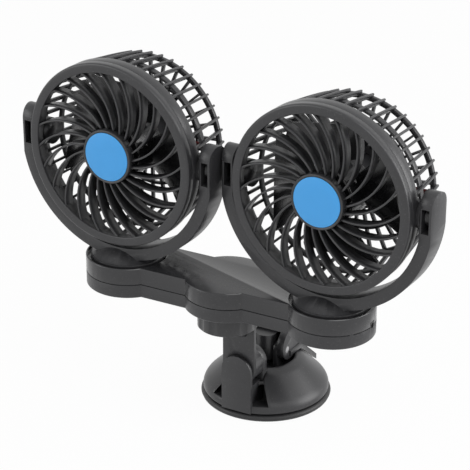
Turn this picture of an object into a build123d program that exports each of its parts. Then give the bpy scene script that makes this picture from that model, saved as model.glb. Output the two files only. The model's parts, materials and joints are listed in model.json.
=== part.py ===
from build123d import *
import math
import os

os.makedirs("parts", exist_ok=True)

# Dual head car fan on a suction mount. Millimetres, +Z up, the heads face -Y.
# The origin is the centre of the suction cup's sealing face.

# Fits shared by every piece
running_gap = 0.05
flat_gap = 0.3
overrun = 5.0

# Front guard of each head. Depths in a head are measured forward from the yoke's swivel axis.
bezel_r = 53.4
bezel_w = 5.4
bezel_face = 18.0
bezel_round = 1.2
seam = 13.2
hub_r = 15.6
hub_face = 19.2
hub_back = 13.6
badge_rim = 1.5
badge_thick = 1.0
badge_crown = 0.3
guard_ribs = 24
guard_rib_w = 1.2
guard_rib_front = 17.3
guard_rib_back = 10.3
guard_sweep_deg = 38.0
spigot_wall = 1.2

# Rear cage
band_back = 6.5
band_wall = 1.6
cage_ribs = 42
cage_rib_w = 1.3
cage_rib_thick = 2.4
cage_waist_in = 2.5
cage_taper = 5.5
cage_cap_room = 2.2
spokes = 30
spoke_w = 1.3
spoke_thick = 2.4
mid_ring_depth = 3.6
mid_ring_share = 0.364
ring_w = 1.6
end_disc_rim = 5.0
tube_wall = 2.0
pad_r = 7.5
trunnion_r = 5.0
trunnion_bore_r = 2.3
trunnion_reach = 5.5
tilt_axis = 3.0

# Motor
motor_r = 12.2
motor_fit = 0.3
motor_len = 28.0
motor_front = 3.0
motor_boss_r = 3.0
motor_boss_h = 1.5
motor_wall = 0.8
end_bell_h = 3.0
cap_thick = 1.4
motor_screw_in = 3.7
motor_screw_r = 1.25
motor_screw_head_r = 2.2
motor_screw_head_h = 1.4
motor_screw_len = 4.0

# Leads
wire_r = 0.8
wire_gap = 0.1
wire_bend_r = 2.5
wire_exit_in = 1.8
lead_r = 1.1
lead_bend_r = 2.0
lead_lane_y = 6.0
splice_r = 2.2
splice_len = 11.0
splice_x = 22.0
splice_wall = 0.5

# Impeller and shaft
shaft_r = 1.15
fan_hub_gap = 0.7
fan_hub_front = 11.0
fan_hub_back = -11.0
fan_wall = 1.6
fan_tip_gap = 0.6
fan_blades = 4
fan_boss_r = 3.2
fan_boss_len = 3.8
blade_thick = 1.5
blade_root_chord = 26.0
blade_tip_chord = 56.0
blade_flat_in = 8.0
blade_root_deg = 28.0
blade_tip_deg = 12.0
blade_mid = 0.0
blade_section_shares = (0, 0.5, 1)
shaft_cap_r = 3.4
shaft_cap_h = 1.6

# Yoke
swing_room = 0.7
pad_gap = 0.8
ear_step = 1.1
yoke_thick = 6.8
yoke_gap = 0.7
foot_sink = 0.1
yoke_front = 12.0
yoke_depth = 15.0
ear_top = 15.0
ear_low = 13.0
plan_trim = 0.1
window_h = 13.6
window_w = 4.3
window_deep = 9.0
window_wall = 1.1
spigot_r = 8.0
spigot_bore_r = 4.0
spigot_len = 10.0
clip_groove_h = 1.0
clip_groove_deep = 1.0
clip_rim = 2.0
disc_r = 21.7
disc_thick = 2.0
foot_half_share = 0.42
foot_inset = 1.5
flare_low_share = 0.965
flare_high_share = 0.52
flare_h = 6.2
channel_w = 2.8
channel_deep = 3.6
lead_room = 2.0
rest_yaw_deg = -3.5
rotor_rest_deg = {"left": -8.0, "right": 6.0}

# Suction cup
cup_border = 1.3
cup_lip_z = 2.5
cup_edge_z = 4.7
cup_top_step = 0.5
cup_boss_r = 16.0
cup_boss_z = 11.0
cup_pocket_z = 3.7

# Plunger stem and its spring
stem_r = 3.2
stem_foot_r = 12.0
stem_foot_thick = 2.0
stem_travel = 2.0
stem_post_r = 6.4
stem_post_rise = 9.0
stem_post_drop = 7.0
spring_r = 8.0
spring_wall = 1.2

# Cup cover
cover_rim_r = 37.4
cover_rim_h = 4.0
cover_mouth_r = 17.2
cover_mouth_z = 24.9
shoulder_w = 4.6
shoulder_drop = 1.0
cover_wall = 2.2
cover_floor_drop = 7.4
cover_floor_thick = 2.3
cheek_x = 19.0
cheek_out = 0.3
cheek_thick = 2.5
rear_cheek_thick = 4.6
gusset_x = 15.0
pocket_low_x = 18.6
pocket_high_x = 10.2
pocket_behind = 2.9
pocket_shelf_w = 9.5
ear_gap_x = 13.6
ear_thick = 2.6
ear_y = 9.0

# Suction lever and its pin
lever_axis_rise = 6.1
lever_pin_r = 2.0
lever_hub_r = 9.5
lever_hub_x = 28.0
lever_slot_x = 19.4
lever_cam_back = 4.0
lever_cam_up = 2.0
lever_thick = 2.6
lever_past_rim = 3.0
lever_tab_x = 30.0
lever_lift = 0.8
lever_root_share = 0.3
lever_heel_share = 0.7
lever_crown_shares = (0.9, 0.5)

# Neck and its hinge pin
neck_axis_rise = 6.2
neck_rise = 48.4
neck_reach = 12.6
neck_knuckle_r = 10.0
neck_knuckle_len = 12.4
neck_plate_x = 20.2
neck_plate_thick = 2.8
neck_web_x = 8.0
neck_web_y = 8.0
neck_pin_r = 2.5
neck_brace_x = 10.0
neck_brace_h = 9.0
neck_brace_in = 6.3
shelf_thick = 3.7
shelf_rim = 1.1
stud_r = 7.9

# Arm, three round lobes joined by two straight bars
lobe_rim = 2.9
hub_lobe_r = 24.6
bar_y = 33.8
lower_h = 8.3
upper_h = 9.7
arm_wall = 2.2
arm_bevel = 0.44
disc_recess = 1.2
disc_groove_w = 1.9
disc_groove_deep = 2.2
sleeve_wall = 3.0
post_r = 3.4
post_x_share = 0.594
post_y_share = 0.65
screw_r = 1.2
screw_head_r = 2.6
screw_head_h = 1.8
screw_len = 12.0

# Locking nut under the arm, and what holds the arm on the stud
nut_r = 17.3
nut_h = 12.6
nut_bevel = 0.7
nut_flutes = 12
nut_flute_r = 7.4
nut_flute_out = 6.8
washer_r = 10.5
washer_thick = 1.5
stud_screw_head_r = 4.0
stud_screw_head_h = 2.6
stud_screw_r = 2.0
stud_screw_len = 12.0

# Cord inlet in the arm's right end
inlet_w = 5.0
inlet_bore_r = 1.6
inlet_flange = 1.2
inlet_depth = 2.7

# Head: what follows from the bezel, the cage's depth and the motor
bezel_in_r = bezel_r - bezel_w
motor_back = motor_front - motor_len
cage_rear = motor_back - cage_cap_room
wire_depth = motor_back + wire_exit_in
motor_screw_at = motor_r - motor_screw_in
band_mid = band_back + spigot_wall
mid_ring_at = band_mid + (cage_rear - band_mid) * mid_ring_share
badge_r = hub_r - badge_rim
cage_waist_r = bezel_r - cage_waist_in
cage_rear_r = bezel_r - cage_taper
tube_bore_r = motor_r + motor_fit
tube_r = tube_bore_r + tube_wall
end_disc_r = tube_r + end_disc_rim
inner_ring_r = (end_disc_r + cage_rear_r - cage_rib_thick) / 2 - ring_w / 2
mid_ring_r = bezel_r - cage_rib_thick - ring_w
wire_lane_r = mid_ring_r - ring_w - wire_r - flat_gap
fan_tip_r = wire_lane_r - wire_r - fan_tip_gap
blade_flat_r = fan_tip_r - blade_flat_in
fan_hub_bore_r = tube_r + fan_hub_gap
fan_hub_r = fan_hub_bore_r + fan_wall
shaft_front = fan_hub_front + shaft_cap_h - flat_gap / 2

# Yoke: its ring clears the tilting bezel and cage, and its ears stand beside the pads
bezel_swing_r = math.hypot(bezel_r, bezel_face - tilt_axis)
cage_swing_r = math.hypot(cage_rear_r, tilt_axis - cage_rear)
yoke_in_r = max(bezel_swing_r, cage_swing_r) + swing_room
yoke_out_r = yoke_in_r + yoke_thick
ear_inner_x = yoke_in_r - ear_step
pad_end = ear_inner_x - pad_gap
trunnion_end = pad_end + trunnion_reach
ear_bore_end = trunnion_end + lead_room
channel_r = (yoke_in_r + yoke_out_r) / 2
yoke_plan_r = yoke_out_r - plan_trim
yoke_back = yoke_front - yoke_depth

# Base: what follows from the cover's rim and mouth
cup_r = cover_rim_r + cup_border
cup_top_r = cover_rim_r - cup_top_step
cover_base_z = cup_edge_z + flat_gap
cover_rim_z = cover_base_z + cover_rim_h
cover_floor_z = cover_mouth_z - cover_floor_drop
cover_floor_top = cover_floor_z + cover_floor_thick
shoulder_r = cover_mouth_r + shoulder_w
shoulder_z = cover_mouth_z - shoulder_drop
cone_slope = (shoulder_z - cover_rim_z) / (cover_rim_r - shoulder_r)
lever_axis_z = cover_mouth_z + lever_axis_rise
lever_reach = cover_rim_r + lever_past_rim
stem_neck_z = lever_axis_z - stem_post_drop
neck_axis_z = cover_mouth_z + neck_axis_rise
cheek_front_y = cover_rim_r + cheek_out
cheek_back_y = cheek_front_y - cheek_thick
knuckle_front_y = cheek_back_y - flat_gap
knuckle_back_y = knuckle_front_y - neck_knuckle_len
rear_cheek_front_y = knuckle_back_y - flat_gap
rear_cheek_back_y = rear_cheek_front_y - rear_cheek_thick
pocket_inner_r = rear_cheek_back_y + pocket_behind

# Arm and neck: the arm is long enough to keep the two yokes apart
arm_half_spacing = yoke_out_r + yoke_gap / 2
arm_y = -(knuckle_front_y + neck_reach)
arm_bottom_z = neck_axis_z + neck_rise
arm_seam_z = arm_bottom_z + lower_h
arm_top_z = arm_seam_z + upper_h
lobe_r = disc_r + lobe_rim
post_x = arm_half_spacing * post_x_share
post_y = bar_y * post_y_share
shelf_r = stud_r + shelf_rim
nut_top_z = arm_bottom_z - flat_gap
nut_bottom_z = nut_top_z - nut_h
shelf_top_z = nut_bottom_z - flat_gap
shelf_bottom_z = shelf_top_z - shelf_thick
stud_top_z = arm_bottom_z + arm_wall
disc_bottom_z = arm_top_z - disc_recess
disc_top_z = disc_bottom_z + disc_thick
head_axis_z = disc_top_z + yoke_out_r - foot_sink
spigot_bottom_z = disc_bottom_z - spigot_len
sleeve_r = spigot_r + sleeve_wall
sleeve_bottom_z = arm_top_z - arm_wall - disc_recess - (upper_h - arm_wall) / 2
clip_r = spigot_r + clip_rim
lane_z = spigot_bottom_z - lead_r - flat_gap


def save(name, shape):
    """Write one node: a solid, or a group of separate solids."""
    export_step(shape, "parts/" + name + ".step")


def rod(radius, low, high, x=0, y=0):
    """A cylinder along Z between two heights."""
    return Pos(x, y, low) * Cylinder(radius, high - low, align=(Align.CENTER, Align.CENTER, Align.MIN))


def tube(outer, inner, low, high, x=0, y=0):
    """A round tube along Z between two heights."""
    return rod(outer, low, high, x, y) - rod(inner, low - overrun, high + overrun, x, y)


def rod_x(radius, low, high, y=0, z=0):
    """A cylinder along X between two places."""
    return Pos(0, y, z) * Rot(0, 90, 0) * rod(radius, low, high)


def rod_y(radius, low, high, x=0, z=0):
    """A cylinder along Y between two places."""
    return Pos(x, 0, z) * Rot(-90, 0, 0) * rod(radius, low, high)


def block(x0, x1, y0, y1, z0, z1):
    """A box between two corners."""
    corner = (Align.MIN, Align.MIN, Align.MIN)
    return Pos(x0, y0, z0) * Box(x1 - x0, y1 - y0, z1 - z0, align=corner)


def plate(outline, height):
    """An outline in X and Y, extruded up from Z zero."""
    return extrude(make_face(Polyline(*outline, close=True)), height)


def spun(outline):
    """An outline in radius and height, turned once round Z."""
    face = make_face(Polyline(*[(r, 0, z) for r, z in outline], close=True))
    return revolve(face, Axis.Z, 360)


def slab_x(outline, width):
    """An outline in Y and Z, extruded both ways along X to a full width."""
    face = make_face(Polyline(*[(0, y, z) for y, z in outline], close=True))
    return extrude(face, width / 2, both=True, dir=(1, 0, 0))


def fused(first, rest):
    """One solid from a body and a list of pieces that run into it."""
    return first.fuse(*rest)


# Suction cup, one rubber moulding with a pocket for the plunger's foot
def suction_cup():
    membrane = cup_lip_z / 2
    body = spun([
        (0, 0), (cup_r - membrane, 0),
        (cup_r, cup_lip_z / 2), (cup_r, cup_lip_z), (cup_top_r, cup_edge_z),
        (cup_boss_r + membrane, cup_edge_z), (cup_boss_r, cup_boss_z), (0, cup_boss_z),
    ])
    pocket_top = cup_pocket_z + stem_foot_thick + stem_travel + flat_gap * 2
    body -= rod(stem_foot_r + flat_gap, cup_pocket_z, pocket_top)
    body -= rod(stem_r + flat_gap, pocket_top - flat_gap, cup_boss_z + overrun)
    return body


# Plunger stem, foot in the rubber and a round post with a slot for the lever's pin
def plunger_stem():
    foot_z = cup_pocket_z + stem_travel + flat_gap
    foot = rod(stem_foot_r, foot_z, foot_z + stem_foot_thick)
    shank = rod(stem_r, foot_z, stem_neck_z + stem_r / 2)
    post = rod(stem_post_r, stem_neck_z, lever_axis_z + stem_post_rise)
    slot_r = lever_pin_r + running_gap
    reach = stem_post_r + overrun
    slot = rod_x(slot_r, -reach, reach, 0, lever_axis_z)
    slot += rod_x(slot_r, -reach, reach, 0, lever_axis_z + stem_travel)
    slot += block(-reach, reach, -slot_r, slot_r, lever_axis_z, lever_axis_z + stem_travel)
    return fused(foot, [shank, post]) - slot


# Spring that presses the rubber down, a sleeve of the wound spring's size
def stem_spring():
    return tube(spring_r, spring_r - spring_wall, cup_boss_z, cover_floor_z)


def cone_radius(z):
    """Radius of the cover's outer cone at a height."""
    return cover_rim_r - (z - cover_rim_z) / cone_slope


def cone_height(radius):
    """Height of the cover's outer cone at a radius."""
    return cover_rim_z + (cover_rim_r - radius) * cone_slope


def cheek(front_y, thick):
    """Upright plate with a round top that holds one end of the hinge pin."""
    upright = block(-cheek_x / 2, cheek_x / 2, -front_y, thick - front_y, cover_base_z, neck_axis_z)
    return upright + rod_y(cheek_x / 2, -front_y, thick - front_y, 0, neck_axis_z)


# Cup cover, a cone with two cheeks for the neck and two ears for the lever
def cup_cover():
    mouth_in = cover_mouth_r
    shell = spun([
        (cover_rim_r - cover_wall, cover_base_z), (cover_rim_r, cover_base_z), (cover_rim_r, cover_rim_z),
        (shoulder_r, shoulder_z), (mouth_in + cover_wall / 2, cover_mouth_z), (mouth_in, cover_mouth_z),
        (mouth_in, cover_mouth_z - cover_wall), (shoulder_r - cover_wall / 2, shoulder_z - cover_wall),
        (cover_rim_r - cover_wall, cover_rim_z - cover_wall / 2),
    ])
    floor = tube(cone_radius(cover_floor_top) - cover_wall / 2, stem_r + running_gap,
                 cover_floor_z, cover_floor_top)
    gusset_top = neck_axis_z - neck_knuckle_r - flat_gap * 2
    outline = [(-pocket_low_x, cover_rim_z), (pocket_low_x, cover_rim_z), (pocket_high_x, gusset_top),
               (pocket_high_x, cover_mouth_z * 2), (-pocket_high_x, cover_mouth_z * 2), (-pocket_high_x, gusset_top)]
    pocket = Rot(90, 0, 0) * plate(outline, cover_rim_r + overrun)
    shell -= pocket - rod(pocket_inner_r, 0, cover_mouth_z * 2)
    shelf = tube(cover_rim_r - cover_wall / 2, cover_rim_r - pocket_shelf_w, cover_base_z, cover_rim_z)
    gusset = block(-gusset_x / 2, gusset_x / 2, -cheek_back_y - cheek_thick / 2, -pocket_inner_r + cover_wall,
                   cover_rim_z - cover_wall, gusset_top)
    front = cheek(cheek_front_y, cheek_thick)
    rear = cheek(rear_cheek_front_y, rear_cheek_thick) - rod(cover_rim_r, 0, cover_floor_z)
    ears = []
    for side in (-1, 1):
        near = side * ear_gap_x / 2
        far = side * (ear_gap_x / 2 + ear_thick)
        low, high = min(near, far), max(near, far)
        ear = block(low, high, -ear_y / 2, ear_y / 2, cover_floor_z, lever_axis_z)
        ears.append(ear + rod_x(ear_y / 2, low, high, 0, lever_axis_z))
    body = fused(shell, [floor, shelf, gusset, front, rear] + ears)
    body -= rod(stem_r + running_gap, 0, cover_floor_top + overrun)
    body -= rod_x(lever_pin_r + running_gap, -cover_mouth_r, cover_mouth_r, 0, lever_axis_z)
    blind = -cheek_front_y + cheek_thick / 2
    body -= rod_y(neck_pin_r + running_gap, blind, -rear_cheek_back_y + overrun, 0, neck_axis_z)
    swing_room = rod_x(lever_hub_r + flat_gap * 2, -lever_hub_x / 2 - flat_gap, lever_hub_x / 2 + flat_gap,
                       lever_cam_back, lever_axis_z + lever_cam_up)
    swing_room -= block(-lever_slot_x / 2, lever_slot_x / 2, -cover_rim_r, cover_rim_r, 0, arm_bottom_z)
    return body - swing_room


# Suction lever, two round cheeks on the pin and a handle that hugs the cover's back
def suction_lever():
    hub = rod_x(lever_hub_r, -lever_hub_x / 2, lever_hub_x / 2, lever_cam_back, lever_axis_z + lever_cam_up)
    cone_stretch = 1 / math.cos(math.atan(cone_slope))
    lift = lever_lift * cone_stretch
    wall = lever_thick * cone_stretch
    end_z = cone_height(lever_reach) + lift
    heel_r = cover_mouth_r - lever_hub_r * lever_heel_share
    mouth_low = cover_mouth_z + lever_lift
    skirt = spun([
        (heel_r, mouth_low), (cover_mouth_r, mouth_low), (shoulder_r, shoulder_z + lift), (lever_reach, end_z),
        (lever_reach, end_z + wall), (shoulder_r, shoulder_z + lift + wall), (heel_r, mouth_low + wall),
    ])
    half = lever_tab_x / 2
    skirt &= block(-half, half, lever_hub_r * lever_root_share, lever_reach, 0, arm_bottom_z)
    crown_y = lever_cam_back + lever_hub_r * lever_crown_shares[0]
    crown_z = lever_axis_z + lever_hub_r * lever_crown_shares[1]
    root = slab_x([
        (lever_cam_back, lever_axis_z), (heel_r, mouth_low), (cover_mouth_r, mouth_low),
        (shoulder_r, shoulder_z + lift + wall / 2), (crown_y, crown_z),
    ], lever_hub_x)
    body = hub + root + skirt
    slot_end = math.hypot(stem_post_r, stem_post_rise) + flat_gap * 2
    slot = rod_x(slot_end, -lever_slot_x / 2, lever_slot_x / 2, 0, lever_axis_z)
    slot += block(-lever_slot_x / 2, lever_slot_x / 2, -slot_end, 0, 0, lever_axis_z + slot_end)
    body -= slot
    return body - rod_x(lever_pin_r, -lever_hub_x, lever_hub_x, 0, lever_axis_z)


def lever_pin():
    return rod_x(lever_pin_r, -lever_hub_x / 2, lever_hub_x / 2, 0, lever_axis_z)


# Neck: knuckle between the cover's cheeks, plate and web, shelf and stud under the arm
def neck_bracket():
    knuckle = rod_y(neck_knuckle_r, -knuckle_front_y, -knuckle_back_y, 0, neck_axis_z)
    front = -knuckle_front_y
    wall = block(-neck_plate_x / 2, neck_plate_x / 2, front, front + neck_plate_thick,
                 neck_axis_z, shelf_top_z)
    web = block(-neck_web_x / 2, neck_web_x / 2, front, front + neck_plate_thick + neck_web_y,
                neck_axis_z, shelf_top_z)
    brace = slab_x([(front, shelf_bottom_z - neck_brace_h), (arm_y - neck_brace_in, shelf_bottom_z),
                    (arm_y - neck_brace_in, shelf_top_z), (front, shelf_top_z)], neck_brace_x)
    shelf = rod(shelf_r, shelf_bottom_z, shelf_top_z, 0, arm_y)
    bridge = block(-shelf_r, shelf_r, arm_y, front + neck_plate_thick, shelf_bottom_z, shelf_top_z)
    stud = rod(stud_r, shelf_bottom_z, stud_top_z, 0, arm_y)
    body = fused(knuckle, [wall, web, brace, shelf, bridge, stud])
    body -= rod_y(neck_pin_r + running_gap, -cheek_front_y, 0, 0, neck_axis_z)
    return body - rod(stud_screw_r, stud_top_z - stud_screw_len, arm_top_z, 0, arm_y)


def neck_hinge_pin():
    return rod_y(neck_pin_r, -cheek_front_y + cheek_thick / 2 + running_gap, -rear_cheek_back_y, 0, neck_axis_z)


# Locking nut with shallow flutes for the fingers
def locking_nut():
    body = rod(nut_r, nut_bottom_z, nut_top_z, 0, arm_y)
    body = chamfer(body.edges().filter_by(GeomType.CIRCLE), nut_bevel)
    body -= rod(stud_r + running_gap, nut_bottom_z - overrun, nut_top_z + overrun, 0, arm_y)
    centre_r = nut_r + nut_flute_out
    for index in range(nut_flutes):
        angle = 2 * math.pi * index / nut_flutes
        body -= rod(nut_flute_r, nut_bottom_z - overrun, nut_top_z + overrun,
                    centre_r * math.cos(angle), arm_y + centre_r * math.sin(angle))
    return body


def arm_plan(inset, low, high):
    """The arm's outline, drawn in by an inset, between two heights."""
    half = bar_y / 2 - inset
    bar = block(-arm_half_spacing, arm_half_spacing, arm_y - half, arm_y + half, low, high)
    lobes = [rod(lobe_r - inset, low, high, side * arm_half_spacing, arm_y) for side in (-1, 1)]
    return fused(bar, lobes + [rod(hub_lobe_r - inset, low, high, 0, arm_y)])


def post_places():
    return [(sx * post_x, arm_y + sy * post_y / 2) for sx in (-1, 1) for sy in (-1, 1)]


def inlet_shape(grow, x0, x1):
    """The cord inlet's plug: a half round foot below the seam and a square top above it."""
    half = inlet_w / 2 + grow
    lower = rod_x(half, x0, x1, arm_y, arm_seam_z)
    upper = block(x0, x1, arm_y - half, arm_y + half, arm_seam_z, arm_seam_z + half)
    return lower + upper


def inlet_cut():
    end = arm_half_spacing + lobe_r
    return inlet_shape(running_gap, end - inlet_depth - overrun, end + overrun)


# Upper arm shell, with a recess, a sleeve and a bore for each yoke
def arm_upper_shell():
    body = arm_plan(0, arm_seam_z, arm_top_z)
    top_face = body.faces().sort_by(Axis.Z)[-1]
    body = chamfer(top_face.edges(), arm_bevel)
    body -= arm_plan(arm_wall, arm_seam_z - overrun, arm_top_z - arm_wall - disc_recess)
    extras = []
    for side in (-1, 1):
        x = side * arm_half_spacing
        extras.append(rod(sleeve_r, sleeve_bottom_z, arm_top_z - arm_wall / 2 - disc_recess, x, arm_y))
    for x, y in post_places():
        extras.append(rod(post_r, arm_seam_z, arm_top_z - arm_wall / 2 - disc_recess, x, y))
    body = fused(body, extras)
    for side in (-1, 1):
        x = side * arm_half_spacing
        body -= rod(disc_r + flat_gap, disc_bottom_z - running_gap, arm_top_z + overrun, x, arm_y)
        body -= tube(disc_r + disc_groove_w, disc_r, arm_top_z - disc_groove_deep, arm_top_z + overrun, x, arm_y)
        body -= rod(spigot_r + running_gap, arm_seam_z, arm_top_z, x, arm_y)
    for x, y in post_places():
        body -= rod(screw_r, arm_seam_z - overrun, arm_top_z - arm_wall - disc_recess, x, y)
    return body - inlet_cut()


# Lower arm shell, a tray with the stud's bore and four screw posts
def arm_lower_shell():
    body = arm_plan(0, arm_bottom_z, arm_seam_z)
    low_face = body.faces().sort_by(Axis.Z)[0]
    body = chamfer(low_face.edges(), arm_bevel)
    body -= arm_plan(arm_wall, arm_bottom_z + arm_wall, arm_seam_z + overrun)
    body = fused(body, [rod(post_r, arm_bottom_z + arm_wall / 2, arm_seam_z, x, y) for x, y in post_places()])
    body -= rod(stud_r + running_gap, 0, arm_top_z, 0, arm_y)
    for x, y in post_places():
        body -= rod(screw_r + running_gap, 0, arm_top_z, x, y)
        body -= rod(screw_head_r + flat_gap, 0, arm_bottom_z + screw_head_h, x, y)
    return body - inlet_cut()


def arm_screws():
    solids = []
    for x, y in post_places():
        head = rod(screw_head_r, arm_bottom_z, arm_bottom_z + screw_head_h, x, y)
        solids.append(head + rod(screw_r, arm_bottom_z, arm_bottom_z + screw_len, x, y))
    return Compound(children=solids)


def stud_washer():
    return tube(washer_r, stud_screw_r + flat_gap, stud_top_z, stud_top_z + washer_thick, 0, arm_y)


def stud_screw():
    seat = stud_top_z + washer_thick
    head = rod(stud_screw_head_r, seat, seat + stud_screw_head_h, 0, arm_y)
    return head + rod(stud_screw_r, stud_top_z - stud_screw_len, seat, 0, arm_y)


# Rubber gland that fills the cord's opening, with a bore for the cord
def cord_gland():
    end = arm_half_spacing + lobe_r
    body = inlet_shape(0, end - inlet_depth, end + inlet_w)
    body = body & rod(lobe_r, arm_bottom_z, arm_top_z, arm_half_spacing, arm_y)
    flange = inlet_shape(inlet_flange, end - inlet_depth - inlet_flange, end - inlet_depth)
    return (body + flange) - rod_x(inlet_bore_r, 0, end * 2, arm_y, arm_seam_z)


def bent_tube(radius, points, bend):
    """A round wire along straight runs joined by arcs."""
    path = FilletPolyline(*points, radius=bend)
    start = path @ 0
    along = path % 0
    section = Plane(origin=start, z_dir=along) * Circle(radius)
    return sweep(section, path)


# Wiring in the arm: each yoke's lead runs past the stud to a splice
def arm_wiring():
    lane_y = arm_y + lead_lane_y
    top = spigot_bottom_z + lead_bend_r * 1.5
    solids = []
    for side, stop in ((-1, splice_x), (1, splice_x + splice_len)):
        start = side * arm_half_spacing
        turn = start - side * lead_lane_y * 2
        solids.append(bent_tube(lead_r, [
            (start, arm_y, top), (start, arm_y, lane_z), (turn, lane_y, lane_z),
            (stop, lane_y, lane_z)], lead_bend_r))
    return Compound(children=solids)


def lead_splice():
    lane_y = arm_y + lead_lane_y
    sleeve = rod_x(splice_r, splice_x, splice_x + splice_len, lane_y, lane_z)
    for low in (splice_x - overrun, splice_x + splice_len / 2 + splice_wall):
        sleeve -= rod_x(lead_r, low, low + splice_len / 2 + overrun - splice_wall, lane_y, lane_z)
    return sleeve


def at_head(side, shape):
    """Carry a shape from the head's own frame, seen from the front, to its place on the arm."""
    return Pos(side * arm_half_spacing, arm_y, head_axis_z) * Rot(0, 0, rest_yaw_deg) * Rot(90, 0, 0) * shape


def guard_rib(index):
    """One swept rib of the front guard, a deep thin fin from the hub to the ring's lip."""
    inner = hub_r - guard_rib_w
    outer = bezel_r - band_wall - flat_gap - spigot_wall / 2
    sweep_rad = math.radians(guard_sweep_deg)
    start = 2 * math.pi * index / guard_ribs

    def side_point(share, hand):
        radius = inner + (outer - inner) * share
        slope = radius * sweep_rad / (outer - inner)
        spread = hand * guard_rib_w / 2 * math.sqrt(1 + slope * slope) / radius
        angle = start + sweep_rad * share + spread
        return (radius * math.cos(angle), radius * math.sin(angle))

    lead = ThreePointArc(side_point(0, 1), side_point(0.5, 1), side_point(1, 1))
    trail = ThreePointArc(side_point(1, -1), side_point(0.5, -1), side_point(0, -1))
    ends = [Line(lead @ 1, trail @ 0), Line(trail @ 1, lead @ 0)]
    face = make_face([lead, ends[0], trail, ends[1]])
    return Pos(0, 0, guard_rib_back) * extrude(face, guard_rib_front - guard_rib_back)


# Front guard, the bezel ring with its swept ribs and hub in one moulding
def front_guard():
    ring = spun([
        (bezel_in_r, seam), (bezel_r, seam), (bezel_r, bezel_face - bezel_round),
        (bezel_r - bezel_round, bezel_face), (bezel_in_r, bezel_face),
    ])
    socket_r = bezel_r - band_wall - flat_gap
    lip = tube(socket_r, socket_r - spigot_wall, band_back + spigot_wall, seam + spigot_wall)
    hub = rod(hub_r, hub_back, hub_face)
    hub = chamfer(hub.edges().filter_by(GeomType.CIRCLE).sort_by(Axis.Z)[-1], badge_crown)
    hub -= rod(badge_r + flat_gap / 2, hub_face - badge_thick, hub_face + overrun)
    hub -= rod(badge_r - badge_thick, hub_back - overrun, hub_face - badge_thick * 2)
    body = fused(ring, [lip, hub] + [guard_rib(index) for index in range(guard_ribs)])
    return body - rod(fan_hub_r + fan_hub_gap, 0, fan_hub_front + fan_hub_gap)


# Coloured disc set in the hub's face, plain
def hub_badge():
    seat = hub_face - badge_thick
    disc = rod(badge_r, seat, hub_face + badge_crown)
    return chamfer(disc.edges().filter_by(GeomType.CIRCLE).sort_by(Axis.Z)[-1], badge_crown)


def side_rib():
    """One rib of the cage's side, from the band to just past the rear ring."""
    top = band_back + spigot_wall
    outer = ThreePointArc(
        (bezel_r - flat_gap, 0, top), (cage_waist_r, 0, (top + cage_rear) / 2), (cage_rear_r, 0, cage_rear))
    inner = ThreePointArc(
        (cage_rear_r - cage_rib_thick, 0, cage_rear), (cage_waist_r - cage_rib_thick, 0, (top + cage_rear) / 2),
        (bezel_r - flat_gap - cage_rib_thick, 0, top))
    face = make_face([outer, Line(outer @ 1, inner @ 0), inner, Line(inner @ 1, outer @ 0)])
    return extrude(face, cage_rib_w / 2, both=True, dir=(0, 1, 0))


# Rear cage: band, side ribs, rings, rear spokes, the motor's tube and two trunnions
def rear_cage():
    band = tube(bezel_r - flat_gap / 2, bezel_r - band_wall, band_back, seam)
    spoke_front = cage_rear + flat_gap + spoke_thick
    mid_ring = tube(mid_ring_r, mid_ring_r - ring_w, mid_ring_at - mid_ring_depth / 2, mid_ring_at + mid_ring_depth / 2)
    rear_ring = tube(cage_rear_r - cage_rib_thick / 2, cage_rear_r - cage_rib_thick - ring_w,
                     cage_rear + flat_gap, spoke_front)
    inner_ring = tube(inner_ring_r, inner_ring_r - ring_w, cage_rear + flat_gap, spoke_front)
    end_disc = rod(end_disc_r, cage_rear + flat_gap, spoke_front)
    barrel = rod(tube_r, cage_rear + flat_gap, motor_front + fan_wall + flat_gap)
    ribs = [Rot(0, 0, 360 * (index + 0.5) / cage_ribs) * side_rib() for index in range(cage_ribs)]
    spoke = block(end_disc_r - spoke_w, cage_rear_r - cage_rib_thick, -spoke_w / 2, spoke_w / 2,
                  cage_rear + flat_gap, spoke_front)
    spoke_set = [Rot(0, 0, 360 * (index + 0.5) / spokes) * spoke for index in range(spokes)]
    pads = []
    for side in (-1, 1):
        near, far = sorted((side * (cage_waist_r - ring_w * 2), side * pad_end))
        pads.append(rod_x(pad_r, near, far, 0, tilt_axis))
        near, far = sorted((side * (pad_end - ring_w), side * trunnion_end))
        pads.append(rod_x(trunnion_r, near, far, 0, tilt_axis))
    body = fused(band, [mid_ring, rear_ring, inner_ring, end_disc, barrel] + ribs + spoke_set + pads)
    lip_room = bezel_r - band_wall
    body -= rod(lip_room, band_back, seam + overrun)
    body -= rod(tube_bore_r, cage_rear - overrun, motor_front)
    body -= rod(motor_boss_r + flat_gap, 0, motor_front + overrun)
    for side in (-1, 1):
        body -= rod(motor_screw_r + running_gap, 0, motor_front + overrun, side * motor_screw_at)
    body -= rod_x(trunnion_bore_r, wire_lane_r, trunnion_end + overrun, 0, tilt_axis)
    exit_low = wire_depth - wire_r * 2
    exit_high = wire_depth + wire_r * 2
    return body - block(motor_r / 2, tube_r + ring_w, -wire_r * 3, wire_r * 3, exit_low, exit_high)


# Motor: steel can, plastic end bell, shaft and the two screws through the cage
def motor_can():
    back = motor_back
    body = rod(motor_r, back + end_bell_h, motor_front)
    body += rod(motor_boss_r, motor_front, motor_front + motor_boss_h)
    body -= rod(motor_r - motor_wall, back, motor_front - motor_wall)
    body -= rod(shaft_r + running_gap, 0, motor_front + overrun)
    for side in (-1, 1):
        body -= rod(motor_screw_r, 0, motor_front + overrun, side * motor_screw_at)
    return body


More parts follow.
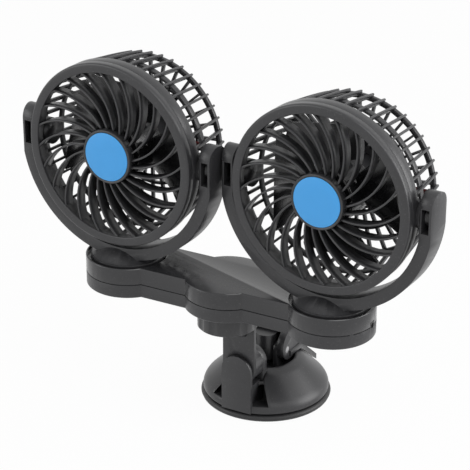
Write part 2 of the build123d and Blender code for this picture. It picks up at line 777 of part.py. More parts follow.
def motor_end_bell():
    back = motor_back
    body = rod(motor_r, back, back + end_bell_h)
    body += tube(motor_r - motor_wall - running_gap, motor_r - motor_wall * 3, back + end_bell_h,
                 back + end_bell_h * 2)
    body -= rod(shaft_r + running_gap, back + end_bell_h / 3, back + end_bell_h * 3)
    slot = block(motor_r * 0.6, motor_r + overrun, -wire_r * 3, wire_r * 3, wire_depth - wire_r * 1.5,
                 wire_depth + wire_r * 1.5)
    return body - slot


def motor_magnet():
    back = motor_back
    outer = motor_r - motor_wall - running_gap
    inner = outer - motor_wall * 3
    low = back + end_bell_h * 2 + flat_gap
    high = motor_front - motor_wall - flat_gap
    ring = tube(outer, inner, low, high)
    gap = block(-motor_r, motor_r, -motor_wall * 1.5, motor_wall * 1.5, low - overrun, high + overrun)
    return Compound(children=list((ring - gap).solids()))


def motor_shaft():
    back = motor_back
    return rod(shaft_r, back + end_bell_h / 3 + running_gap, shaft_front)


# Armature on the shaft inside the can: a slotted core with its windings' end faces
def armature():
    back = motor_back
    core_r = motor_r - motor_wall * 4 - flat_gap * 2
    low = back + end_bell_h * 2 + flat_gap * 2
    high = motor_front - motor_wall * 3
    body = rod(core_r, low, high)
    for index in range(3):
        angle = 2 * math.pi * index / 3
        body -= rod(core_r / 4, low - overrun, high + overrun,
                    core_r * math.cos(angle), core_r * math.sin(angle))
    return body - rod(shaft_r, low - overrun, high + overrun)


def motor_screws():
    seat = motor_front + fan_wall + flat_gap
    solids = []
    for side in (-1, 1):
        x = side * motor_screw_at
        head = rod(motor_screw_head_r, seat, seat + motor_screw_head_h, x)
        solids.append(head + rod(motor_screw_r, seat - motor_screw_len + motor_screw_head_h, seat, x))
    return Compound(children=solids)


# Cap that closes the motor's tube from behind, pushed in
def motor_cap():
    inside = tube_bore_r - running_gap
    low = cage_rear - cap_thick + flat_gap
    cap = rod(tube_r, low, cage_rear + flat_gap)
    skirt = tube(inside, inside - cap_thick, cage_rear, motor_back)
    return cap + skirt


def blade():
    """One broad blade, lofted through flat sections that twist, with a straight tip."""
    sections = []
    root_r = fan_hub_bore_r + fan_wall / 2
    for share in blade_section_shares:
        radius = root_r + (blade_flat_r - root_r) * share
        chord = blade_root_chord + (blade_tip_chord - blade_root_chord) * share
        pitch = blade_root_deg + (blade_tip_deg - blade_root_deg) * share
        place = Plane(origin=(radius, 0, blade_mid), x_dir=(0, 1, 0), z_dir=(1, 0, 0))
        sections.append(place * Rot(0, 0, pitch) * Rectangle(chord, blade_thick))
    return loft(sections)


# Impeller, a hub cup over the motor's tube with its blades, pushed on the shaft
def impeller():
    hub = rod(fan_hub_r, fan_hub_back, fan_hub_front)
    hub = chamfer(hub.edges().filter_by(GeomType.CIRCLE).sort_by(Axis.Z)[-1], fan_wall / 2)
    one = blade() & tube(fan_tip_r, fan_hub_bore_r, fan_hub_back * 2, fan_hub_front * 2)
    body = fused(hub, [Rot(0, 0, 360 * index / fan_blades) * one for index in range(fan_blades)])
    body -= rod(fan_hub_bore_r, fan_hub_back - overrun * 2, fan_hub_front - fan_wall)
    body += rod(fan_boss_r, fan_hub_front - fan_boss_len, fan_hub_front - fan_wall / 2)
    return body - rod(shaft_r, 0, fan_hub_front + overrun)


def impeller_cap():
    cap = rod(shaft_cap_r, fan_hub_front, fan_hub_front + shaft_cap_h)
    return cap - rod(shaft_r, fan_hub_front - overrun, shaft_front)


# Motor leads in the head: out of the tube, along a spoke, forward and out of the trunnion
def head_leads():
    solids = []
    for side in (-1, 1):
        y = side * (wire_r + wire_gap / 2)
        solids.append(bent_tube(wire_r, [
            (motor_r * 0.7, y, wire_depth), (wire_lane_r, y, wire_depth),
            (wire_lane_r, y, tilt_axis), (trunnion_end + wire_r * 2, y, tilt_axis)], wire_bend_r))
    return Compound(children=solids)


# Yoke: a half ring with two ears, a flared foot, a disc and a hollow spigot in the arm
def yoke():
    ring = tube(yoke_out_r, yoke_in_r, yoke_back, yoke_front)
    ring &= block(-yoke_out_r, yoke_out_r, -yoke_out_r, 0, yoke_back, yoke_front)
    ears = []
    ear_r = yoke_depth / 2
    ear_mid = yoke_front - ear_r
    for side in (-1, 1):
        near, far = sorted((side * ear_inner_x, side * yoke_out_r))
        ears.append(block(near, far, -ear_low, ear_top - ear_r, yoke_back, yoke_front))
        ears.append(rod_x(ear_r, near, far, ear_top - ear_r, ear_mid))
    half = disc_r * foot_half_share
    foot_low = disc_top_z - head_axis_z - disc_thick / 2
    foot = block(-half, half, foot_low, -yoke_in_r - flat_gap, yoke_back, yoke_front - foot_inset)
    body = fused(ring, ears + [foot])
    outer = rod(yoke_out_r, yoke_back, yoke_front)
    outer += block(-yoke_out_r, yoke_out_r, 0, yoke_out_r, yoke_back, yoke_front)
    body &= outer + block(-half, half, foot_low, 0, yoke_back, yoke_front)
    to_head = Rot(-90, 0, 0) * Pos(0, 0, -head_axis_z)
    body &= to_head * rod(yoke_plan_r, 0, head_axis_z * 2)
    disc = to_head * rod(disc_r, disc_bottom_z, disc_top_z)
    flare_top = disc_top_z + flare_h
    flare_r = disc_r * flare_low_share
    flare = to_head * spun([(0, disc_bottom_z + disc_thick / 2), (flare_r, disc_bottom_z + disc_thick / 2),
                            (flare_r, disc_top_z), (disc_r * flare_high_share, flare_top), (0, flare_top)])
    flare -= rod(yoke_in_r, -disc_r * 2, disc_r * 2)
    spigot = to_head * rod(spigot_r, spigot_bottom_z, disc_bottom_z + disc_thick / 2)
    body = fused(body, [disc, flare, spigot])
    body -= to_head * rod(spigot_bore_r, 0, head_axis_z - channel_r + lead_r)
    groove_z = clip_groove_z()
    body -= to_head * tube(spigot_r + overrun, spigot_r - clip_groove_deep, groove_z, groove_z + clip_groove_h)
    for side in (-1, 1):
        near, far = sorted((side * (ear_inner_x - overrun), side * ear_bore_end))
        body -= rod_x(trunnion_r + running_gap, near, far, 0, tilt_axis)
        near, far = sorted((side * (ear_inner_x + window_wall), side * (ear_inner_x + window_wall + window_w)))
        body -= block(near, far, -window_h / 2, window_h / 2, yoke_front - window_deep, yoke_front + overrun)
    lane = tube(channel_r + channel_w / 2, channel_r - channel_w / 2, yoke_back - overrun,
                yoke_back + channel_deep)
    lane &= block(0, yoke_out_r, -yoke_out_r, channel_w, yoke_back - overrun, yoke_back + channel_deep)
    return body - lane


def clip_groove_z():
    return sleeve_bottom_z - washer_gap() - clip_groove_h


def washer_gap():
    return clip_groove_h


def wave_washer():
    low = sleeve_bottom_z - washer_gap()
    return Pos(0, arm_y, 0) * tube(clip_r, spigot_r + flat_gap, low, sleeve_bottom_z)


def swivel_clip():
    low = clip_groove_z()
    ring = tube(clip_r, spigot_r - clip_groove_deep + running_gap, low, low + clip_groove_h)
    ring -= block(-spigot_r / 2, spigot_r / 2, 0, clip_r * 2, low - overrun, low + overrun)
    return Pos(0, arm_y, 0) * ring


# Lead in the yoke's channel, from under the trunnion down into the spigot
def yoke_lead():
    depth = yoke_back + channel_deep - lead_r - flat_gap
    start = -math.degrees(math.asin((trunnion_r + lead_r + flat_gap) / channel_r))
    arc = CenterArc((0, 0, depth), channel_r, start, -90 - start)
    section = Plane(origin=arc @ 0, z_dir=arc % 0) * Circle(lead_r)
    run = sweep(section, arc)
    corner = Pos(0, -channel_r, depth) * Sphere(lead_r)
    low = spigot_bottom_z + lead_bend_r * 1.5 + flat_gap - head_axis_z
    down = Pos(0, low, depth) * Rot(-90, 0, 0) * rod(lead_r, 0, -channel_r - low)
    return fused(run, [corner, down])


save("suction_cup", suction_cup())
save("plunger_stem", plunger_stem())
save("stem_spring", stem_spring())
save("cup_cover", cup_cover())
save("suction_lever", suction_lever())
save("lever_pin", lever_pin())
save("neck_bracket", neck_bracket())
save("neck_hinge_pin", neck_hinge_pin())
save("locking_nut", locking_nut())
save("arm_lower_shell", arm_lower_shell())
save("arm_upper_shell", arm_upper_shell())
save("arm_screws", arm_screws())
save("stud_washer", stud_washer())
save("stud_screw", stud_screw())
save("cord_gland", cord_gland())
save("arm_wiring", arm_wiring())
save("lead_splice", lead_splice())

head_pieces = {
    "front_guard": front_guard(),
    "hub_badge": hub_badge(),
    "rear_cage": rear_cage(),
    "motor_can": motor_can(),
    "motor_end_bell": motor_end_bell(),
    "motor_magnets": motor_magnet(),
    "motor_screws": motor_screws(),
    "motor_cap": motor_cap(),
    "head_leads": head_leads(),
    "yoke": yoke(),
    "yoke_lead": yoke_lead(),
}
rotor_pieces = {
    "motor_shaft": motor_shaft(),
    "motor_armature": armature(),
    "impeller": impeller(),
    "impeller_cap": impeller_cap(),
}
swivel_pieces = {"wave_washer": wave_washer(), "swivel_clip": swivel_clip()}

for hand, side in (("left", -1), ("right", 1)):
    for name, shape in head_pieces.items():
        save(hand + "_" + name, at_head(side, shape))
    for name, shape in rotor_pieces.items():
        save(hand + "_" + name, at_head(side, Rot(0, 0, rotor_rest_deg[hand]) * shape))
    for name, shape in swivel_pieces.items():
        save(hand + "_" + name, Pos(side * arm_half_spacing, 0, 0) * shape)
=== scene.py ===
import json
import math

import bmesh
import bpy
from mathutils import Matrix, Vector


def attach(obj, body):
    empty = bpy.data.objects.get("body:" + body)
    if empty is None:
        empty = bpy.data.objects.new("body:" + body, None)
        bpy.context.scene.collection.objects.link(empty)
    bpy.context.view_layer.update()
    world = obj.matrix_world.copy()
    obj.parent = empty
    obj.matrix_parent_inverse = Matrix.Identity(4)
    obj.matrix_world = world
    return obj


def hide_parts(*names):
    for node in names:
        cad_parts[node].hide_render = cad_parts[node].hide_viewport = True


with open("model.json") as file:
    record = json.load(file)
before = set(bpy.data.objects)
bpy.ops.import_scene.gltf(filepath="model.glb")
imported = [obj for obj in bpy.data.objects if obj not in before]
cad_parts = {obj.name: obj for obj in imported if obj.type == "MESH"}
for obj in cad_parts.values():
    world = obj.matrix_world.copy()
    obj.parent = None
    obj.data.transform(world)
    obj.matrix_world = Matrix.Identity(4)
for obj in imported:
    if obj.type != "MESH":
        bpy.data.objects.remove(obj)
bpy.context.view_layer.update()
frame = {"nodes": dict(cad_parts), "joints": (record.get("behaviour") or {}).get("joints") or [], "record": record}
joints = {row["name"]: row for row in frame["joints"]}

# Camera. The fan stands three quarters on, seen from its right and from above,
# through a long lens, so the two heads stay nearly the same size.
turn = math.radians(28.47)
rise = math.radians(24.91)
away = 1.0646
look_at = Vector((-0.00483, -0.030, 0.11365))
focal_px = 1891.7
frame_px = 470
sensor_mm = 36
near_clip = 0.01
toward = Vector((math.sin(turn) * math.cos(rise), -math.cos(turn) * math.cos(rise), math.sin(rise)))
camera_data = bpy.data.cameras.new("camera")
camera_data.sensor_width = sensor_mm
camera_data.lens = focal_px / frame_px * sensor_mm
camera_data.clip_start = near_clip
camera = bpy.data.objects.new("camera", camera_data)
camera.location = look_at + toward * away
camera.rotation_euler = (-toward).to_track_quat("-Z", "Y").to_euler()
bpy.context.scene.collection.objects.link(camera)
bpy.context.scene.camera = camera
bpy.context.scene.view_settings.view_transform = "Standard"


class Wire:
    """One socket of a shader; arithmetic on it adds Math nodes."""

    def __init__(self, tree, socket):
        self.tree, self.socket = tree, socket

    def maths(self, operation, first, second):
        node = self.tree.nodes.new("ShaderNodeMath")
        node.operation = operation
        for slot, value in zip(node.inputs, (first, second)):
            if isinstance(value, Wire):
                self.tree.links.new(value.socket, slot)
            else:
                slot.default_value = value
        return Wire(self.tree, node.outputs[0])

    def __add__(self, other):
        return self.maths("ADD", self, other)

    def __radd__(self, other):
        return self.maths("ADD", other, self)

    def __sub__(self, other):
        return self.maths("SUBTRACT", self, other)

    def __rsub__(self, other):
        return self.maths("SUBTRACT", other, self)

    def __mul__(self, other):
        return self.maths("MULTIPLY", self, other)

    def __rmul__(self, other):
        return self.maths("MULTIPLY", other, self)


class Finish:
    """A material or a world while its nodes are wired up."""

    def __init__(self, owner):
        owner.use_nodes = True
        self.tree = owner.node_tree
        self.tree.nodes.clear()

    def add(self, kind, settings=None, sockets=None, out=0):
        node = self.tree.nodes.new("ShaderNode" + kind)
        for name, value in (settings or {}).items():
            if name == "stops":
                for index, (place, colour) in enumerate(value):
                    ramp = node.color_ramp.elements
                    stop = ramp[index] if index < 2 else ramp.new(place)
                    stop.position, stop.color = place, colour
            else:
                setattr(node, name, value)
        for name, value in (sockets or {}).items():
            if isinstance(value, Wire):
                self.tree.links.new(value.socket, node.inputs[name])
            else:
                node.inputs[name].default_value = value
        return Wire(self.tree, node.outputs[out]) if len(node.outputs) else None

    def backdrop(self):
        """One where the camera, a mirror or glass looks, zero for plain light."""
        seen = self.add("LightPath", out="Is Camera Ray")
        mirrored = Wire(self.tree, seen.socket.node.outputs["Is Glossy Ray"])
        through = Wire(self.tree, seen.socket.node.outputs["Is Transmission Ray"])
        return seen + mirrored + through


# Stage. A pale floor carries the soft shadow, and the studio round it is plain white,
# which the satin plastic mirrors on its tops and ends.
fill_level = 0.28
floor_half = 6.0
floor_drop = 0.0002
floor_white_share = 0.965
floor_grey = 0.86
lamps = (
    ("key_lamp", (0.7, -0.45, 1.3), 0.9, 8.0),
    ("left_lamp", (-1.1, -1.0, 0.6), 1.0, 7.0),
    ("edge_lamp", (1.5, 0.55, 0.55), 1.2, 19.0),
)

world = bpy.data.worlds.new("studio")
bpy.context.scene.world = world
studio = Finish(world)
fill = studio.add("Background", sockets={"Color": (1, 1, 1, 1), "Strength": fill_level})
white = studio.add("Background", sockets={"Color": (1, 1, 1, 1), "Strength": 1.0})
both = studio.add("MixShader", sockets={0: studio.backdrop(), 1: fill, 2: white})
studio.add("OutputWorld", sockets={"Surface": both})

paper = bpy.data.materials.new("paper")
sheet = Finish(paper)
matt = sheet.add("BsdfDiffuse", sockets={"Color": (floor_grey, floor_grey, floor_grey, 1)})
glow = sheet.add("Emission", sockets={"Color": (1, 1, 1, 1), "Strength": 1.0})
both = sheet.add("MixShader", sockets={0: sheet.backdrop() * floor_white_share, 1: matt, 2: glow})
sheet.add("OutputMaterial", sockets={"Surface": both})

floor_shape = bmesh.new()
bmesh.ops.create_grid(floor_shape, x_segments=1, y_segments=1, size=floor_half)
bmesh.ops.translate(floor_shape, verts=floor_shape.verts, vec=(0, 0, -floor_drop))
floor_data = bpy.data.meshes.new("floor")
floor_shape.to_mesh(floor_data)
floor_shape.free()
floor_data.materials.append(paper)
floor = bpy.data.objects.new("floor", floor_data)
bpy.context.scene.collection.objects.link(floor)

for name, place, size, power in lamps:
    lamp_data = bpy.data.lights.new(name, "AREA")
    lamp_data.shape = "SQUARE"
    lamp_data.size = size
    lamp_data.energy = power
    lamp = bpy.data.objects.new(name, lamp_data)
    lamp.location = place
    lamp.rotation_euler = (Vector(place) - look_at).to_track_quat("Z", "Y").to_euler()
    bpy.context.scene.collection.objects.link(lamp)


# Suction cup. One moulding of soft black rubber with a thin lip, pressed flat on the
# panel; the cover sits on its shoulder and the plunger's foot pulls its middle up.
stain_scale = 48.0
speck_scale = 900.0
speck_start, speck_end = 0.62, 0.78
dust_grey = 0.16
worn_share = 1.3
worn_lift = 0.01
stain_gloss = 0.14
grain_gloss = 0.08
weld_gap = 0.0000005


def grained(name, colour, rough, grain, depth, dust=0.0):
    """Moulded plastic or rubber: a fine eroded grain, broad gloss changes and a little dust."""
    material = bpy.data.materials.new(name)
    look = Finish(material)
    place = look.add("TexCoord", out="Object")
    fine = look.add("TexNoise", sockets={"Vector": place, "Scale": grain, "Detail": 3.0})
    broad = look.add("TexNoise", sockets={"Vector": place, "Scale": stain_scale, "Detail": 3.0})
    specks = look.add("TexNoise", sockets={"Vector": place, "Scale": speck_scale, "Detail": 2.0})
    speck_stops = ((speck_start, (0, 0, 0, 1)), (speck_end, (1, 1, 1, 1)))
    dusty = look.add("ValToRGB", {"stops": speck_stops}, {"Fac": specks})
    skin = look.add("Bump", sockets={"Height": fine, "Strength": 0.4, "Distance": depth})
    pale = [c * worn_share + worn_lift * dust for c in colour]
    tone = look.add("Mix", {"data_type": "RGBA"}, {"Factor": broad, 6: (*colour, 1), 7: (*pale, 1)}, out=2)
    tone = look.add("Mix", {"data_type": "RGBA"}, {
        "Factor": dusty * dust, 6: tone, 7: (dust_grey, dust_grey, dust_grey, 1)}, out=2)
    gloss = rough + (broad - 0.5) * stain_gloss + (fine - 0.5) * grain_gloss
    shader = look.add("BsdfPrincipled", sockets={"Base Color": tone, "Roughness": gloss, "Normal": skin})
    look.add("OutputMaterial", sockets={"Surface": shader})
    return material


def turned(outline, steps=96, closed=True):
    """An outline of radius and height pairs, spun once round Z."""
    shape = bmesh.new()
    points = [shape.verts.new((radius, 0, height)) for radius, height in outline]
    pairs = list(zip(points, points[1:])) + ([(points[-1], points[0])] if closed else [])
    edges = [shape.edges.new(pair) for pair in pairs]
    bmesh.ops.spin(shape, geom=points + edges, cent=(0, 0, 0), axis=(0, 0, 1), angle=2 * math.pi,
                   steps=steps, use_merge=True)
    bmesh.ops.remove_doubles(shape, verts=shape.verts, dist=weld_gap)
    bmesh.ops.recalc_face_normals(shape, faces=shape.faces)
    return shape


def corner(middle, radius, start_deg, end_deg, steps=4):
    """Points of a rounded corner in an outline, about its middle."""
    angles = [math.radians(start_deg + (end_deg - start_deg) * step / steps) for step in range(steps + 1)]
    return [(middle[0] + radius * math.cos(a), middle[1] + radius * math.sin(a)) for a in angles]


def add_to(shape, part):
    """Put one bmesh into another, and free it."""
    data = bpy.data.meshes.new("part")
    part.to_mesh(data)
    part.free()
    shape.from_mesh(data)
    bpy.data.meshes.remove(data)


def keep(shape, name, material, body, nodes, edge, crease=32):
    """Make a piece of a bmesh: smooth, its edges eased, riding on its body for its nodes."""
    data = bpy.data.meshes.new(name)
    shape.to_mesh(data)
    shape.free()
    data.shade_smooth()
    data.materials.append(material)
    piece = bpy.data.objects.new(name, data)
    bpy.context.scene.collection.objects.link(piece)
    if edge:
        eased = piece.modifiers.new("eased_edges", "BEVEL")
        eased.width = edge
        eased.segments = 2
        eased.limit_method = "ANGLE"
        eased.angle_limit = math.radians(crease)
        eased.harden_normals = True
    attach(piece, body)
    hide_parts(*nodes)


cup_rubber = grained("cup_rubber", (0.014, 0.014, 0.015), 0.5, 2200.0, 0.00003, 0.25)
cup_r = 0.0387
cup_lip_h = 0.0038
cup_shoulder_r = 0.0356
cup_shoulder_z = 0.0047
cup_step = 0.0003
cup_boss_r = 0.0160
cup_boss_z = 0.0110
cup_boss_taper = 0.001
cup_outline = (
    [(0, 0)]
    + corner((cup_r - cup_lip_h / 2, cup_lip_h / 2), cup_lip_h / 2, -90, 90)
    + [(cup_shoulder_r + cup_step, cup_lip_h), (cup_shoulder_r, cup_lip_h + cup_step)]
    + [(cup_shoulder_r, cup_shoulder_z), (cup_boss_r + cup_boss_taper, cup_shoulder_z)]
    + [(cup_boss_r, cup_boss_z), (0, cup_boss_z)]
)
keep(turned(cup_outline, 128, closed=False), "cup_rubber_lip", cup_rubber, "base",
     ["suction_cup"], edge=0)


# Cup cover. A hard black cone over the rubber, with an open mouth for the lever's hub,
# a pocket and a round cheek at the front for the neck's hinge, in one moulding.
merge_gap = 0.000002
flat_deg = 1.0
cut_gap = 0.0000001
wall_gap = 0.00006
halvings = 24


def cad_shape(node):
    """A merged copy of a CAD node's mesh."""
    shape = bmesh.new()
    shape.from_mesh(frame["nodes"][node].data)
    bmesh.ops.remove_doubles(shape, verts=shape.verts, dist=merge_gap)
    bmesh.ops.dissolve_limit(shape, angle_limit=math.radians(flat_deg), verts=shape.verts, edges=shape.edges)
    return shape


def cut_level(shape, height):
    """Cut a whole bmesh through at a height, and keep both sides."""
    parts = shape.verts[:] + shape.edges[:] + shape.faces[:]
    bmesh.ops.bisect_plane(shape, geom=parts, dist=cut_gap, plane_co=(0, 0, height), plane_no=(0, 0, 1))


def eased_copy(node, name, material, body, edge, crease=30):
    """A piece that takes its form from a CAD node, with its edges eased as a mould leaves them."""
    keep(cad_shape(node), name, material, body, [node], edge, crease)


def at_height(low, middle, high, height):
    """Radius at a height on the curve that rounds a corner off, from one point to another."""
    near, far = 0.0, 1.0
    for _ in range(halvings):
        share = (near + far) / 2
        level = low[1] * (1 - share) ** 2 + middle[1] * 2 * share * (1 - share) + high[1] * share ** 2
        near, far = (share, far) if level < height else (near, share)
    return low[0] * (1 - share) ** 2 + middle[0] * 2 * share * (1 - share) + high[0] * share ** 2


def rounded_corner(shape, low, middle, high, steps=7):
    """Cut a spun wall into rings by height and draw each onto a smooth curve past its corner."""
    for step in range(steps + 1):
        cut_level(shape, low[1] + (high[1] - low[1]) * step / steps)
    for vert in shape.verts:
        radius, height = math.hypot(vert.co.x, vert.co.y), vert.co.z
        if not low[1] <= height <= high[1]:
            continue
        first, last = (low, middle) if height < middle[1] else (middle, high)
        sharp = first[0] + (last[0] - first[0]) * (height - first[1]) / (last[1] - first[1])
        if abs(radius - sharp) < wall_gap:
            scale = at_height(low, middle, high, height) / radius
            vert.co.x, vert.co.y = vert.co.x * scale, vert.co.y * scale


black = grained("satin_black", (0.026, 0.026, 0.028), 0.36, 2600.0, 0.00003, 0.3)
rim_r = 0.0374
rim_z = 0.0090
rim_round = 0.0030
shoulder_r = 0.0218
shoulder_z = 0.0239
shoulder_round = 0.0020
mouth_edge_r = 0.0183
mouth_z = 0.0249
mouth_flat = 0.0001
cone_run = (rim_r - shoulder_r) / (shoulder_z - rim_z)
mouth_run = (shoulder_r - mouth_edge_r) / (mouth_z - shoulder_z)
cover = cad_shape("cup_cover")
rounded_corner(cover, (rim_r, rim_z - rim_round), (rim_r, rim_z),
               (rim_r - cone_run * rim_round, rim_z + rim_round))
rounded_corner(cover, (shoulder_r + cone_run * shoulder_round, shoulder_z - shoulder_round),
               (shoulder_r, shoulder_z), (mouth_edge_r + mouth_run * mouth_flat, mouth_z - mouth_flat))
keep(cover, "cover_cone", black, "base", ["cup_cover"], edge=0.0003)

# Lever. One moulding of hard black plastic on a steel pin in the cone's mouth: a round
# cam, which lifts the plunger's stem, and a curved handle folded down over the cone.
eased_copy("suction_lever", "lever_moulding", black, "lever", 0.0005)

# Neck. One moulding of hard black plastic: its knuckle turns on a pin between the cone's
# cheeks, and its shelf and stud carry the arm.
eased_copy("neck_bracket", "neck_moulding", black, "neck", 0.0005)

# Locking nut. A ring of hard black plastic with shallow flutes for the fingers, screwed
# on the neck's stud to clamp the arm from below.
eased_copy("locking_nut", "nut_moulding", black, "nut", 0.0006)

# Arm. Two black shells with three round lobes, screwed together from below; the seam
# between them is the thin line all round. A rubber gland for the cord sits in its end.
polished = grained("polished_black", (0.026, 0.026, 0.028), 0.2, 2600.0, 0.000006, 0.2)
eased_copy("arm_upper_shell", "arm_top", polished, "arm", 0.0004)
arm_y = joints["arm_swivel"]["pos_m"][1]
arm_seam = 0.0878
arm_seam_gap = 0.0005
arm_seam_deep = 0.0006
arm_side_y = 0.0160
arm_end_x = 0.0840
upright = 0.1
tray = cad_shape("arm_lower_shell")
cut_level(tray, arm_seam - arm_seam_gap)
band = []
for face in tray.faces:
    middle, out = face.calc_center_median(), face.normal
    across = middle.y - arm_y
    on_side = abs(across) > arm_side_y and out.y * across > 0
    on_end = abs(middle.x) > arm_end_x and out.x * middle.x > 0
    if (on_side or on_end) and abs(out.z) < upright and middle.z > arm_seam - arm_seam_gap:
        band.append(face)
bmesh.ops.inset_region(tray, faces=band, thickness=0, depth=-arm_seam_deep, use_boundary=True,
                       use_even_offset=True)
keep(tray, "arm_tray", black, "arm", ["arm_lower_shell"], edge=0.0002)
eased_copy("cord_gland", "gland_rubber", cup_rubber, "arm", 0.0003)

# Yokes. One moulding of hard black plastic each: a half ring with two ears that hold the
# head's trunnions, and a round foot that turns in the arm's end lobe.
for hand in ("left", "right"):
    eased_copy(hand + "_yoke", hand + "_yoke_moulding", black, hand + "_swivel", 0.0007)


# Front guards. One black moulding each: a flat bezel ring, a small hub and 24 deep thin
# fins swept between them, pressed into the rear cage by a lip.
def head_frame(hand):
    """A head's own frame from its joints, as seen from the front: right, up, and the way it blows."""
    right = Vector(joints[hand + "_head_tilt"]["axis"])
    ahead = Vector(joints[hand + "_fan_spin"]["axis"])
    axes = Matrix((right, (0, 0, 1), ahead)).transposed().to_4x4()
    return Matrix.Translation(joints[hand + "_fan_spin"]["pos_m"]) @ axes


def ring_round(shape, part, count, first_deg=0.0):
    """Repeat a bmesh round Z, evenly, and free it."""
    data = bpy.data.meshes.new("part")
    part.to_mesh(data)
    part.free()
    for index in range(count):
        before = set(shape.verts)
        shape.from_mesh(data)
        new = [v for v in shape.verts if v not in before]
        spin = Matrix.Rotation(math.radians(first_deg) + 2 * math.pi * index / count, 4, "Z")
        bmesh.ops.transform(shape, matrix=spin, verts=new)
    bpy.data.meshes.remove(data)


def arc_centre(first, middle, last):
    """Centre of the circle through three points in a plane."""
    (ax, ay), (bx, by), (cx, cy) = first, middle, last
    twice = 2 * (ax * (by - cy) + bx * (cy - ay) + cx * (ay - by))
    a2, b2, c2 = ax * ax + ay * ay, bx * bx + by * by, cx * cx + cy * cy
    return ((a2 * (by - cy) + b2 * (cy - ay) + c2 * (ay - by)) / twice,
            (a2 * (cx - bx) + b2 * (ax - cx) + c2 * (bx - ax)) / twice)


def swept(section, centre, axis, angle, steps):
    """A closed section carried round an axis by an angle, with both ends closed."""
    shape = bmesh.new()
    face = shape.faces.new([shape.verts.new(point) for point in section])
    bmesh.ops.spin(shape, geom=[face], cent=centre, axis=axis, angle=angle, steps=steps)
    bmesh.ops.holes_fill(shape, edges=[edge for edge in shape.edges if edge.is_boundary])
    bmesh.ops.recalc_face_normals(shape, faces=shape.faces)
    return shape


bezel_r = 0.0534
bezel_in_r = 0.0480
bezel_face = 0.0180
bezel_round = 0.0012
bezel_in_round = 0.0005
bezel_ease = 0.0003
guard_back = 0.0132
lip_r = 0.0515
lip_wall = 0.0012
lip_back = 0.0077
lip_ease = 0.0004
hub_r = 0.0156
hub_face = 0.0192
hub_back = 0.0136
hub_ease = 0.0008
hub_round = 0.0005
badge_r = 0.0141
badge_seat = 0.0182
badge_gap = 0.0002
badge_floor = 0.001
fin_count = 24
fin_w = 0.0011
fin_front = 0.0173
fin_back = 0.0103
fin_clear_r = 0.0176
fin_sweep = math.radians(38.0)
fin_back_share = 0.3
fin_ease_share = 0.18
fin_steps = 14


def fin_point(share):
    """A point on a fin's middle line, from the hub to the lip."""
    radius = hub_r - fin_w + (lip_r - lip_wall / 2 - hub_r + fin_w) * share
    return (radius * math.cos(fin_sweep * share), radius * math.sin(fin_sweep * share))


def guard_fin():
    """One fin: its section at the hub, carried along its arc to the lip."""
    points = [fin_point(share) for share in (0, 0.5, 1)]
    cx, cy = arc_centre(*points)
    start, end = [math.atan2(y - cy, x - cx) for x, y in (points[0], points[2])]
    angle = (end - start + math.pi) % (2 * math.pi) - math.pi
    out = Vector((points[0][0] - cx, points[0][1] - cy)).normalized()
    half, thin, ease = fin_w / 2, fin_w * fin_back_share, fin_w * fin_ease_share
    outline = [(-thin, fin_back), (-half, fin_front - ease), (-half + ease, fin_front),
               (half - ease, fin_front), (half, fin_front - ease), (thin, fin_back)]
    section = [(points[0][0] + out.x * side, points[0][1] + out.y * side, depth) for side, depth in outline]
    fin = swept(section, (cx, cy, 0), (0, 0, 1), angle, fin_steps)
    for vert in fin.verts:
        if math.hypot(vert.co.x, vert.co.y) < fin_clear_r and vert.co.z < hub_back:
            vert.co.z = hub_back - fin_w
    return fin


def front_guard():
    """Bezel ring, pressed-in lip, hub and fins."""
    ring = turned(
        [(bezel_in_r, guard_back), (bezel_r - bezel_ease, guard_back), (bezel_r, guard_back + bezel_ease)]
        + corner((bezel_r - bezel_round, bezel_face - bezel_round), bezel_round, 0, 90)
        + corner((bezel_in_r + bezel_in_round, bezel_face - bezel_in_round), bezel_in_round, 90, 180), 160)
    lip_front = guard_back + lip_wall
    add_to(ring, turned([(lip_r - lip_wall, lip_back), (lip_r, lip_back + lip_ease),
                         (lip_r, lip_front), (lip_r - lip_wall, lip_front)], 128))
    add_to(ring, turned(
        [(0, badge_seat - badge_floor), (0, hub_back)]
        + [(hub_r - hub_ease, hub_back), (hub_r, hub_back + hub_ease)]
        + corner((hub_r - hub_round, hub_face - hub_round), hub_round, 0, 90)
        + [(badge_r + badge_gap, hub_face), (badge_r + badge_gap / 2, badge_seat), (0, badge_seat)],
        96, closed=False))
    ring_round(ring, guard_fin(), fin_count)
    return ring


for hand in ("left", "right"):
    guard = front_guard()
    bmesh.ops.transform(guard, matrix=head_frame(hand), verts=guard.verts)
    keep(guard, hand + "_guard_moulding", black, hand + "_head",
         [hand + "_front_guard"], edge=0)


# Hub discs. A plain, slightly crowned disc of bright blue plastic, pressed into the
# shallow seat of each guard's hub.
wave_scale = 70.0
skin_scale = 1500.0
deep_share = 0.93
disc_rough = 0.42
disc_gloss = 0.1


def glossy(name, colour):
    """Bright moulded plastic with faint changes of tone and gloss and a fine skin."""
    material = bpy.data.materials.new(name)
    look = Finish(material)
    place = look.add("TexCoord", out="Object")
    broad = look.add("TexNoise", sockets={"Vector": place, "Scale": wave_scale, "Detail": 2.0})
    fine = look.add("TexNoise", sockets={"Vector": place, "Scale": skin_scale, "Detail": 2.0})
    skin = look.add("Bump", sockets={"Height": fine, "Strength": 0.15, "Distance": 0.00002})
    deep = (*[c * deep_share for c in colour], 1)
    tone = look.add("Mix", {"data_type": "RGBA"}, {"Factor": broad, 6: (*colour, 1), 7: deep}, out=2)
    shader = look.add("BsdfPrincipled", sockets={
        "Base Color": tone, "Roughness": disc_rough + (broad - 0.5) * disc_gloss, "Normal": skin})
    look.add("OutputMaterial", sockets={"Surface": shader})
    return material


